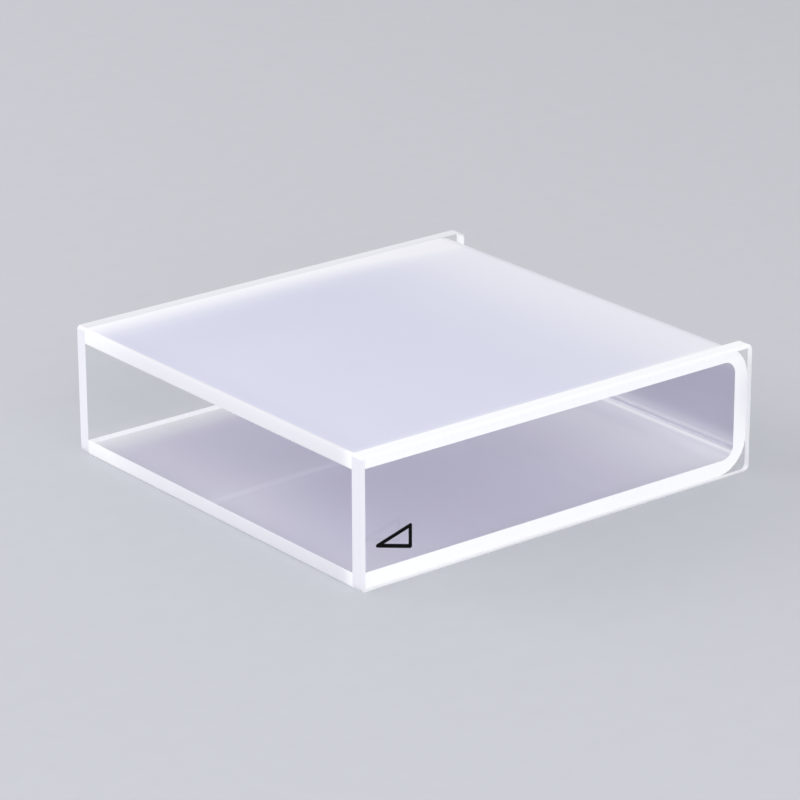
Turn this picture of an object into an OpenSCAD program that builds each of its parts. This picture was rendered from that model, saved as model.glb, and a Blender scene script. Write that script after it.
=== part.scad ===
// Long-path cell for a spectrophotometer, fused from three pieces of quartz glass:
// a U-shaped frosted body and two clear polished windows across its open sides.
// It lies on one broad side: the mouth faces -X, the base +X, and the light runs along Y.

/* [Cell] */
// Height of the cell, from the mouth to the outside of the base
cell_height = 45; // [25:0.5:60]
// Width of the cell, over both frosted broad walls
cell_width = 12.4; // [8:0.1:20]
// Light path, the inside distance from window to window
light_path = 40; // [10:1:100]
// Bevel ground along every outer edge
edge_bevel = 0.25; // [0.1:0.05:0.4]

/* [Frosted body] */
// Thickness of each broad wall
broad_wall = 1.45; // [1:0.05:2.5]
// Thickness of the base
base_wall = 1.5; // [1:0.05:3]
// Outside radius of the bends between the broad walls and the base
bend_outer_r = 3.3; // [2.2:0.1:3.9]
// Inside radius of the same bends
bend_inner_r = 1.3; // [0.4:0.1:2]

/* [Windows] */
// Thickness of each window
window_thickness = 1.5; // [1:0.05:2.5]
// Radius of each window's two corners at the base
window_corner_r = 0.6; // [0.3:0.05:1]

/* [Mark on the front window] */
// Length of the mark, along the height of the cell
mark_length = 3.9; // [2:0.1:6]
// Width of the mark, across the cell
mark_width = 2.3; // [1.5:0.1:3.5]
// Width of its line
mark_line = 0.36; // [0.2:0.02:0.6]
// Depth to which the line is etched into the window and filled with ink
mark_depth = 0.05; // [0.02:0.01:0.1]
// Distance from the mouth end to the mark
mark_from_mouth = 1.4; // [0.6:0.1:8]
// Distance from the lower broad side to the mark
mark_from_side = 2.9; // [0.6:0.1:3.5]

/* [Hidden] */
$fn = 96;

mouth_x = -cell_height / 2;
base_x = cell_height / 2;
// Bonding plane of each window, on the ends of the U
bond_y = light_path / 2;
// Outer faces of the windows
face_y = bond_y + window_thickness;
// How far a cutting shape runs past what it cuts
past = 1;

// What a bevel takes off a corner at the origin, with the solid towards +X +Y
module bevel_cut() {
    rotate(-45)
        square(edge_bevel * sqrt(2), center = true);
}

// What a rounding takes off the same corner
module round_cut(radius) {
    difference() {
        translate([-past, -past])
            square(radius + past);
        translate([radius, radius])
            circle(radius);
    }
}

// The outer outline that body and windows share, X along the height and Y across the
// width, with bevelled corners at the mouth and round ones at the base
module outline(corner_r) {
    difference() {
        translate([mouth_x, 0])
            square([cell_height, cell_width]);
        for (side = [0, 1])
            translate([0, side * cell_width])
                mirror([0, side]) {
                    translate([mouth_x, 0])
                        bevel_cut();
                    translate([base_x, 0])
                        mirror([1, 0])
                            round_cut(corner_r);
                }
    }
}

// The room inside the U, open past the mouth, with a round corner at each bend
module cavity_outline() {
    difference() {
        translate([mouth_x - past, broad_wall])
            square([cell_height - base_wall + past, cell_width - 2 * broad_wall]);
        for (side = [0, 1])
            translate([base_x - base_wall, side * cell_width])
                mirror([0, side])
                    translate([0, broad_wall])
                        mirror([1, 0])
                            round_cut(bend_inner_r);
    }
}

// A flat shape of X and Z, given its thickness from y_from towards +Y
module stand(y_from, thickness) {
    translate([0, y_from + thickness, 0])
        rotate([90, 0, 0])
            linear_extrude(thickness)
                children();
}

// The U: two broad walls and the base between them, formed as one piece
module body() {
    color([0.86, 0.87, 0.93])
        stand(-bond_y, light_path)
            difference() {
                outline(bend_outer_r);
                cavity_outline();
            }
}

// Section through a window from low to high along its face, with both corners of the
// outer face, on y = -face_y, bevelled
module window_section(low, high) {
    difference() {
        translate([low, -face_y])
            square([high - low, window_thickness]);
        for (end = [low, high])
            translate([end, -face_y])
                bevel_cut();
    }
}

// One clear window on the U's -Y end, bevelled round its outer face: its outline, its
// section along the height and its section across the width, all three together
module window() {
    intersection() {
        stand(-face_y, window_thickness)
            outline(window_corner_r);
        linear_extrude(cell_width)
            window_section(mouth_x, base_x);
        translate([mouth_x - past, 0, 0])
            rotate([90, 0, 90])
                linear_extrude(cell_height + 2 * past)
                    translate([0, cell_width])
                        rotate(-90)
                            window_section(0, cell_width);
    }
}

// One straight line of the mark, with a round end at its start
module mark_stroke(from, to) {
    run = to - from;
    translate(from) {
        rotate(atan2(run.y, run.x))
            translate([0, -mark_line / 2])
                square([norm(run), mark_line]);
        circle(d = mark_line);
    }
}

// The mark is a plain triangle of three lines that points to the mouth
module mark_outline() {
    tip_x = mouth_x + mark_from_mouth + mark_line / 2;
    tail_x = mouth_x + mark_from_mouth + mark_length - mark_line / 2;
    low_z = mark_from_side + mark_line / 2;
    high_z = mark_from_side + mark_width - mark_line / 2;
    corners = [[tip_x, (low_z + high_z) / 2], [tail_x, low_z], [tail_x, high_z]];
    for (i = [0 : 2])
        mark_stroke(corners[i], corners[(i + 1) % 3]);
}

module front_window() {
    color([0.78, 0.82, 0.90, 0.4])
        difference() {
            window();
            stand(-face_y - past, past + mark_depth)
                mark_outline();
        }
}

module rear_window() {
    color([0.78, 0.82, 0.90, 0.4])
        mirror([0, 1, 0])
            window();
}

// The black ink that fills the etched mark, level with the window's face
module orientation_mark() {
    color([0.03, 0.03, 0.04])
        stand(-face_y, mark_depth)
            mark_outline();
}

body();
front_window();
rear_window();
orientation_mark();
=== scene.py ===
import math
import bmesh
import bpy
from mathutils import Matrix, Vector


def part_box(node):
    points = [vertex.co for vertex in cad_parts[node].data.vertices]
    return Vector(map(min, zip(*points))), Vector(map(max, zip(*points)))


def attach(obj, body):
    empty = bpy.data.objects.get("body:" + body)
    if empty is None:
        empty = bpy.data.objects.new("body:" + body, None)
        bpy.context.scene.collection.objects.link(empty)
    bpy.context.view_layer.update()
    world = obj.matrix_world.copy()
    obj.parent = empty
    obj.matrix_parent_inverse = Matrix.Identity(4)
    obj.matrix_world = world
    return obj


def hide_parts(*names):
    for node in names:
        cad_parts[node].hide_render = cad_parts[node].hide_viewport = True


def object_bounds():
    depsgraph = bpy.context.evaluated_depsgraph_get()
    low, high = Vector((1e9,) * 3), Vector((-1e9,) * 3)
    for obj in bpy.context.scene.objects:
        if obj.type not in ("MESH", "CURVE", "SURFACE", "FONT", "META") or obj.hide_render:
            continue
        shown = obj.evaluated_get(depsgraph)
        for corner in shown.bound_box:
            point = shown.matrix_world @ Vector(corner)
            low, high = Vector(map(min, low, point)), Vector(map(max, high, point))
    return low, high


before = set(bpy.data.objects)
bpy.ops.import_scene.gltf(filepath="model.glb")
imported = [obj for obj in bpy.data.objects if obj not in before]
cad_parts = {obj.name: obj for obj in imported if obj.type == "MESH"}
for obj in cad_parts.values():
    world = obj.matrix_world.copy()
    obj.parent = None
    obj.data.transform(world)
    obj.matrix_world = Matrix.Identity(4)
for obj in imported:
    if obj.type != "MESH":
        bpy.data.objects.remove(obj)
cad_box = [list(corner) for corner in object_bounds()]

# ---- Camera ----
# A long lens a little above the cell, in front of the corner between the mouth and the
# front window, tilted by a hair.
MM = 0.001
azimuth = math.radians(-38.35)
elevation = math.radians(20.75)
roll = math.radians(-0.19)
distance = 355.8 * MM
aim_right = -1.14 * MM
aim_up = -0.22 * MM

aim = (Vector(cad_box[0]) + Vector(cad_box[1])) / 2
back = Vector((
    math.sin(azimuth) * math.cos(elevation),
    -math.cos(azimuth) * math.cos(elevation),
    math.sin(elevation),
))
right = Vector((0, 0, 1)).cross(back).normalized()
up = back.cross(right)
right, up = (
    math.cos(roll) * right + math.sin(roll) * up,
    -math.sin(roll) * right + math.cos(roll) * up,
)
bpy.ops.object.camera_add()
camera = bpy.context.object
camera.matrix_world = Matrix.Translation(
    aim + aim_right * right + aim_up * up + distance * back
) @ Matrix((right, up, back)).transposed().to_4x4()
camera.data.sensor_width = 36
camera.data.lens = 174.2
camera.data.clip_start = 0.01
camera.data.clip_end = 10
bpy.context.scene.camera = camera
bpy.context.scene.view_settings.view_transform = "Standard"


# ---- Floor, sky and lamps ----
# A matt pale table under an even white sky. One broad soft lamp in front lights the
# mouth, the front window and the upper wall alike. One behind the mouth's rear corner
# runs along the bends inside.
class Socket:
    """A shader socket that can be used in Python expressions."""

    def __init__(self, tree, end):
        self.tree = tree
        self.end = end

    def node(self, kind, settings=None, out=0, **inputs):
        """Adds a node of that kind, with its settings and then its inputs, and returns
        one of its outputs. An input is named, or numbered as i0, i1 and so on."""
        made = self.tree.nodes.new(kind)
        for name, value in (settings or {}).items():
            setattr(made, name, value)
        for name, value in inputs.items():
            name = name.replace("_", " ")
            place = made.inputs[int(name[1:]) if name[1:].isdigit() else name]
            if isinstance(value, Socket):
                self.tree.links.new(value.end, place)
            else:
                place.default_value = value
        return Socket(self.tree, made.outputs[out])

    def maths(self, operation, *values):
        inputs = {f"i{i}": value for i, value in enumerate(values)}
        return self.node("ShaderNodeMath", {"operation": operation}, **inputs)

    def mix(self, factor, first, second):
        """The first colour, and the second where the factor is 1."""
        settings = {"data_type": "RGBA"}
        return self.node("ShaderNodeMix", settings, out=2, i0=factor, i6=first, i7=second)

    def __add__(self, other):
        return self.maths("ADD", self, other)

    __radd__ = __add__

    def __sub__(self, other):
        return self.maths("SUBTRACT", self, other)

    def __rsub__(self, other):
        return self.maths("SUBTRACT", other, self)

    def __mul__(self, other):
        return self.maths("MULTIPLY", self, other)

    __rmul__ = __mul__


def colour(red, green, blue):
    """A linear RGBA colour from 8-bit screen values."""
    def linear(c):
        c = c / 255
        return c / 12.92 if c <= 0.04045 else ((c + 0.055) / 1.055) ** 2.4
    return (linear(red), linear(green), linear(blue), 1)


def new_material(name):
    """A fresh material with an empty tree, and the socket of its output node."""
    made = bpy.data.materials.new(name)
    made.use_nodes = True
    made.node_tree.nodes.clear()
    output = made.node_tree.nodes.new("ShaderNodeOutputMaterial")
    return made, Socket(made.node_tree, output.inputs["Surface"])


def deselect():
    bpy.ops.object.select_all(action="DESELECT")


pale_table, surface = new_material("pale_table")
place = surface.node("ShaderNodeTexCoord", out=3)
grain = surface.node("ShaderNodeTexNoise", Vector=place, Scale=400.0, Detail=3.0)
grey = surface.mix(grain, colour(200, 202, 208), colour(204, 206, 212))
matt = surface.node("ShaderNodeBsdfPrincipled", Base_Color=grey, Roughness=0.65)
surface.tree.links.new(matt.end, surface.end)

floor_below = 0.02 * MM
deselect()
bpy.ops.mesh.primitive_circle_add(
    vertices=96, radius=2.5, fill_type="NGON", location=(0, 0, -floor_below)
)
floor = bpy.context.object
floor.name = "floor"
floor.data.materials.append(pale_table)

sky = bpy.data.worlds.new("sky")
bpy.context.scene.world = sky
sky.use_nodes = True
sky.node_tree.nodes["Background"].inputs["Color"].default_value = (0.98, 0.99, 1.0, 1)
sky.node_tree.nodes["Background"].inputs["Strength"].default_value = 0.62

for spot, size, power in (
    ((-0.185, -0.567, 0.290), 0.50, 2.4),
    ((-0.34, 0.44, 0.235), 0.40, 2.0),
):
    bpy.ops.object.light_add(type="AREA", location=spot)
    lamp = bpy.context.object
    lamp.data.size = size
    lamp.data.energy = power
    lamp.rotation_euler = (aim - lamp.location).to_track_quat("-Z", "Y").to_euler()


# ---- Frosted body ----
# The real piece is a U of quartz glass, two broad walls and a base formed as one. It is
# ground matt outside and white on its rims, and clear and polished inside, so the ground
# outside shows through the depth of its walls.
body_low, body_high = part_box("body")
broad_wall = 1.45 * MM
base_wall = 1.5 * MM
bend_outside = 3.3 * MM
bend_inside = 1.3 * MM
edge_bevel = 0.25 * MM
rim_break = 0.02 * MM
tolerance = 0.001 * MM
smooth_below = math.radians(25)


def near(a, b):
    return abs(a - b) < tolerance


def pick(kind, test):
    """Selects, in edit mode, the vertices, edges or faces that pass the test. It is given
    a vertex's place, an edge's middle and run, or a face's middle and normal."""
    bpy.ops.mesh.select_mode(type=kind)
    bpy.ops.mesh.select_all(action="DESELECT")
    mesh = bmesh.from_edit_mesh(bpy.context.edit_object.data)
    if kind == "VERT":
        for vertex in mesh.verts:
            vertex.select_set(test(vertex.co))
    elif kind == "EDGE":
        for edge in mesh.edges:
            ends = [vertex.co for vertex in edge.verts]
            edge.select_set(test(sum(ends, Vector()) / 2, ends[1] - ends[0]))
    else:
        for face in mesh.faces:
            face.select_set(test(face.calc_center_median(), face.normal))
    mesh.select_flush_mode()
    bmesh.update_edit_mesh(bpy.context.edit_object.data)


def settle():
    """Puts the piece's place, turn and size into its mesh."""
    bpy.ops.object.transform_apply(location=True, rotation=True, scale=True)


def finish_mesh():
    """Turns all faces outwards, leaves edit mode and shades the bends smooth."""
    bpy.ops.mesh.select_all(action="SELECT")
    bpy.ops.mesh.normals_make_consistent(inside=False)
    bpy.ops.object.mode_set(mode="OBJECT")
    bpy.ops.object.shade_smooth_by_angle(angle=smooth_below)


def give_finish(piece, material, test):
    """Adds that material to the active piece, on the faces that pass the test."""
    piece.data.materials.append(material)
    piece.active_material_index = len(piece.data.materials) - 1
    bpy.ops.object.mode_set(mode="EDIT")
    pick("FACE", test)
    bpy.ops.object.material_slot_assign()
    bpy.ops.object.mode_set(mode="OBJECT")


def looks_along_y(normal):
    return abs(normal.y) > 0.99


# the U's section is cut from a plate, its corners are rounded, and it is drawn out
span = body_high - body_low
middle = (body_low + body_high) / 2
inner_base = body_high.x - base_wall
inner_low = body_low.z + broad_wall
inner_high = body_high.z - broad_wall

deselect()
bpy.ops.mesh.primitive_plane_add(
    size=1, location=(middle.x, body_low.y, middle.z), rotation=(math.pi / 2, 0, 0)
)
body = bpy.context.object
body.name = "frosted_body"
body.scale = (span.x, span.z, 1)
settle()
bpy.ops.object.mode_set(mode="EDIT")
for cut_at, cut_across in (
    ((inner_base, 0, 0), (1, 0, 0)),
    ((0, 0, inner_low), (0, 0, 1)),
    ((0, 0, inner_high), (0, 0, 1)),
):
    bpy.ops.mesh.select_all(action="SELECT")
    bpy.ops.mesh.bisect(plane_co=cut_at, plane_no=cut_across)
pick("FACE", lambda at, normal: at.x < inner_base and inner_low < at.z < inner_high)
bpy.ops.mesh.delete(type="FACE")
bpy.ops.mesh.select_all(action="SELECT")
bpy.ops.mesh.dissolve_limited(angle_limit=0.01)
for at_x, levels, size, steps in (
    (body_high.x, (body_low.z, body_high.z), bend_outside, 32),
    (inner_base, (inner_low, inner_high), bend_inside, 20),
    (body_low.x, (body_low.z, body_high.z), edge_bevel, 2),
    (body_low.x, (inner_low, inner_high), rim_break, 1),
):
    pick("VERT", lambda at: near(at.x, at_x) and any(near(at.z, z) for z in levels))
    bpy.ops.mesh.bevel(affect="VERTICES", offset=size, segments=steps)
bpy.ops.mesh.select_all(action="SELECT")
bpy.ops.mesh.extrude_region_move(TRANSFORM_OT_translate={"value": (0, span.y, 0)})
finish_mesh()


# where each side of the body lies: the axis across it and its place on that axis
sides = {
    "mouth": (0, body_low.x), "base": (0, body_high.x),
    "front": (1, body_low.y), "rear": (1, body_high.y),
    "bottom": (2, body_low.z), "top": (2, body_high.z),
}


def depth(place, side):
    """How far a point lies from that side of the body."""
    axis, start = sides[side]
    along = place.node("ShaderNodeSeparateXYZ", out=axis, Vector=place)
    return along.maths("ABSOLUTE", along - start)


def glow(depth_in, reach, centre=0):
    """1 at the depth called centre, falling to 0 over about twice the reach."""
    gap = (depth_in - centre) * (1 / reach)
    return gap.maths("EXPONENT", 0 - gap * gap)


def at_most_one(share):
    return share.maths("MINIMUM", share, 1)


def let_light_by(shader, share):
    """Light falls straight through that share of the shader, so what is behind stays lit."""
    shadow_ray = shader.node("ShaderNodeLightPath", out=1)
    diffuse_ray = shader.node("ShaderNodeLightPath", out=2)
    opened = shader.node("ShaderNodeBsdfTransparent", Color=(1, 1, 1, 1))
    if share < 1:
        opened = shader.node("ShaderNodeMixShader", i0=share, i1=shader, i2=opened)
    lamps = shader.node("ShaderNodeMixShader", i0=shadow_ray, i1=shader, i2=opened)
    return shader.node("ShaderNodeMixShader", i0=diffuse_ray, i1=lamps, i2=opened)


def ground(name, paint, passing):
    """Ground quartz. The paint function gives its colour from outside, its colour seen
    through the glass behind it, and the share of each that is light coming through it
    milkily. Light falls straight through it by the share called passing."""
    made, surface = new_material(name)
    place = surface.node("ShaderNodeTexCoord", out=3)
    outer, inner, outer_milk, inner_milk = paint(place)
    inner_side = surface.node("ShaderNodeNewGeometry", out=6)
    grit = surface.node("ShaderNodeTexNoise", Vector=place, Scale=9000.0, Detail=4.0)
    bump = surface.node("ShaderNodeBump", Height=grit, Strength=0.25, Distance=0.01 * MM)
    matt = surface.node(
        "ShaderNodeBsdfPrincipled",
        Base_Color=surface.mix(inner_side, outer, inner),
        Roughness=grit * 0.2 + 0.7, IOR=1.46, Normal=bump,
    )
    passed = surface.node("ShaderNodeBsdfTranslucent", Color=colour(252, 252, 255))
    milk = inner_side * (inner_milk - outer_milk) + outer_milk
    shader = surface.node("ShaderNodeMixShader", i0=milk, i1=matt, i2=passed)
    surface.tree.links.new(let_light_by(shader, passing).end, surface.end)
    return made


def polished(name, rough):
    """Polished quartz, with the faint unevenness that hand polishing leaves."""
    made, surface = new_material(name)
    place = surface.node("ShaderNodeTexCoord", out=3)
    polish = surface.node("ShaderNodeTexNoise", Vector=place, Scale=120.0, Detail=2.0)
    glass = surface.node(
        "ShaderNodeBsdfPrincipled",
        Base_Color=(1, 1, 1, 1), Roughness=polish * rough, IOR=1.46, Transmission_Weight=1.0,
    )
    surface.tree.links.new(let_light_by(glass, 1).end, surface.end)
    return made


# the white of the painted glows and of the painted bright lines
glow_white = colour(250, 249, 254)
white = colour(253, 253, 255)


def outside_paint(place):
    """The wide ground faces. A painted glow pales them towards the base and the rear, and
    the lower bend carries painted bright and dark lines of the light it gathers, seen through the
    glass."""
    from_mouth = depth(place, "mouth")
    from_front = depth(place, "front")
    from_rear = depth(place, "rear")
    from_base = depth(place, "base")
    height = depth(place, "bottom")

    # from outside: a little cloudy, with painted shade by the mouth and just in front of the
    # painted glow at the rear
    cloud = place.node("ShaderNodeTexNoise", Vector=place, Scale=90.0, Detail=2.0)
    outer = place.mix(cloud * 0.08, colour(219, 220, 238), colour(180, 180, 200))
    painted_shade = glow(from_rear, 5 * MM, 8 * MM) * 0.2 + glow(from_mouth, 1.8 * MM, 0.8 * MM) * 0.3
    outer = place.mix(painted_shade, outer, colour(204, 206, 226))

    # from inside: greyer, a painted shade, and a little paler with painted light by the front
    #     # and by the mouth, above all in the middle of the mouth
    painted_inner_light = glow(from_mouth, 8 * MM) * 0.28 + glow(from_front, 4 * MM) * 0.12
    painted_inner_light = painted_inner_light + glow(from_mouth, 13 * MM) * glow(from_front, 6 * MM, 18 * MM) * 0.18
    inner = place.mix(painted_inner_light, colour(200, 195, 219), glow_white)

    # painted glow, outside and from inside: paler by the rear, towards the base and by the front
    painted_glow = glow(from_rear, 2.6 * MM) + glow(from_base, 12 * MM) * 0.8
    painted_glow = at_most_one(painted_glow + glow(from_front, 0.4 * MM) * 0.2)
    outer = place.mix(painted_glow, outer, glow_white)
    inner = place.mix(painted_glow, inner, glow_white)

    # the bends from inside, in shade except by the front, then the base in painted shade with
    #     # a painted band of gathered light, and painted bright and dark lines along its lower
    #     bend
    shade = colour(175, 171, 196)
    in_shade = glow(from_base, 1.2 * MM, 2.05 * MM) * (0.38 - glow(from_front, 9 * MM) * 0.3)
    inner = place.mix(in_shade, inner, shade)
    painted_gathered_light = glow(height, 0.85 * MM, 2.5 * MM)
    painted_gathered_light = painted_gathered_light + glow(depth(place, "top"), 0.85 * MM, 2.5 * MM) * 0.3
    base = place.mix(painted_gathered_light, shade, colour(203, 200, 218))
    inner = place.mix(glow(from_base, 0.9 * MM), inner, base)
    for line_height, reach, strength, tone in (
        (1.36 * MM, 0.24 * MM, 1.0, glow_white),
        (1.92 * MM, 0.18 * MM, 0.4, shade),
        (2.35 * MM, 0.12 * MM, 0.4, glow_white),
    ):
        inner = place.mix(glow(height, reach, line_height) * strength, inner, tone)
    return outer, inner, 0.15, 0.15


def rim_paint(place):
    """The ground ends and the mouth's rim. A painted glow makes them whitest by the windows
    and along their foot towards the rear, and they are a little softer half way up the base."""
    from_rear = depth(place, "rear")
    height = depth(place, "bottom")
    # painted glow by the windows and along the foot towards the rear
    painted_rim_glow = glow(from_rear, 6 * MM) * 0.8 + glow(from_rear, 20 * MM) * glow(height, 2 * MM) * 0.5
    painted_rim_glow = at_most_one(painted_rim_glow + glow(depth(place, "front"), 1 * MM))
    outer = place.mix(painted_rim_glow, colour(230, 229, 235), white)
    softer = glow(depth(place, "base"), 1.6 * MM) * glow(height, 3.5 * MM, 7.5 * MM)
    outer = place.mix(softer, outer, colour(238, 237, 242))
    return outer, white, 0.05, 0.85


body.data.materials.append(ground("ground_outside", outside_paint, 0.45))
give_finish(body, ground("ground_rim", rim_paint, 0.45), lambda at, normal: (
    looks_along_y(normal) or at.x < body_low.x + edge_bevel
))
give_finish(body, polished("polished_inside", 0.05), lambda at, normal: (
    not looks_along_y(normal)
    and body_low.x + rim_break < at.x < inner_base + tolerance
    and inner_low - tolerance < at.z < inner_high + tolerance
))
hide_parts("body")
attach(body, "root")


# ---- Windows ----
# Each real window is a plate of clear quartz glass, polished on both faces and ground
# white on its narrow edges, fused across one open side of the body.
window_corner = 0.6 * MM
fused_depth = 0.002 * MM
bevel_before_body = 1.42 * MM


def edge_paint(place):
    """The ground narrow edges, with painted shade at the mouth, at the rear and on the front
    bevel, which leans to the lamp. The lowest ones, in the shade by the table, glow with the
    light that is in the glass."""
    # painted shade at the mouth, at the rear and on the front bevel
    painted_edge_shade = glow(depth(place, "mouth"), 0.3 * MM) + glow(depth(place, "rear"), 3 * MM)
    painted_edge_shade = at_most_one(painted_edge_shade + glow(depth(place, "front"), 0.15 * MM, bevel_before_body) * 0.4)
    outer = place.mix(painted_edge_shade, white, colour(235, 234, 241))
    return outer, white, glow(depth(place, "bottom"), 0.45 * MM) * 0.9, 0.1


clear_quartz = polished("clear_quartz", 0.01)
ground_edge = ground("ground_edge", edge_paint, 0.85)


def make_window(name, node, outward):
    """One plate in the place of that node, its outer face towards outward on Y."""
    # sunk by a hair into the ends of the body, and as much below the ink's face
    shift = Vector((0, -outward * fused_depth, 0))
    low, high = (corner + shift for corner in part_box(node))
    outer = high.y if outward > 0 else low.y
    deselect()
    bpy.ops.mesh.primitive_cube_add(size=1, location=(low + high) / 2)
    window = bpy.context.object
    window.name = name
    window.scale = high - low
    settle()
    bpy.ops.object.mode_set(mode="EDIT")
    pick("EDGE", lambda at, run: abs(run.y) > tolerance and near(at.x, high.x))
    bpy.ops.mesh.bevel(affect="EDGES", offset=window_corner, segments=12)
    pick("EDGE", lambda at, run: abs(run.y) > tolerance and near(at.x, low.x))
    bpy.ops.mesh.bevel(affect="EDGES", offset=edge_bevel, segments=1)
    pick("EDGE", lambda at, run: near(at.y, outer) and abs(run.y) < tolerance)
    bpy.ops.mesh.bevel(affect="EDGES", offset=edge_bevel, segments=1)
    finish_mesh()
    window.data.materials.append(clear_quartz)
    give_finish(window, ground_edge, lambda at, normal: not looks_along_y(normal))
    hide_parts(node)
    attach(window, "root")


make_window("polished_front_window", "front_window", -1)
make_window("polished_rear_window", "rear_window", 1)


# ---- Mark ----
# A triangle of black ink that points to the mouth. It is fired into a line etched in the
# front window, level with its face.
fired_ink, surface = new_material("fired_ink")
place = surface.node("ShaderNodeTexCoord", out=3)
speck = surface.node("ShaderNodeTexNoise", Vector=place, Scale=5000.0, Detail=3.0)
black = surface.mix(speck, colour(2, 2, 3), colour(9, 9, 11))
ink = surface.node(
    "ShaderNodeBsdfPrincipled", Base_Color=black, Roughness=0.8, Specular_IOR_Level=0.1
)
surface.tree.links.new(ink.end, surface.end)
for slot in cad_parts["orientation_mark"].material_slots:
    slot.material = fired_ink
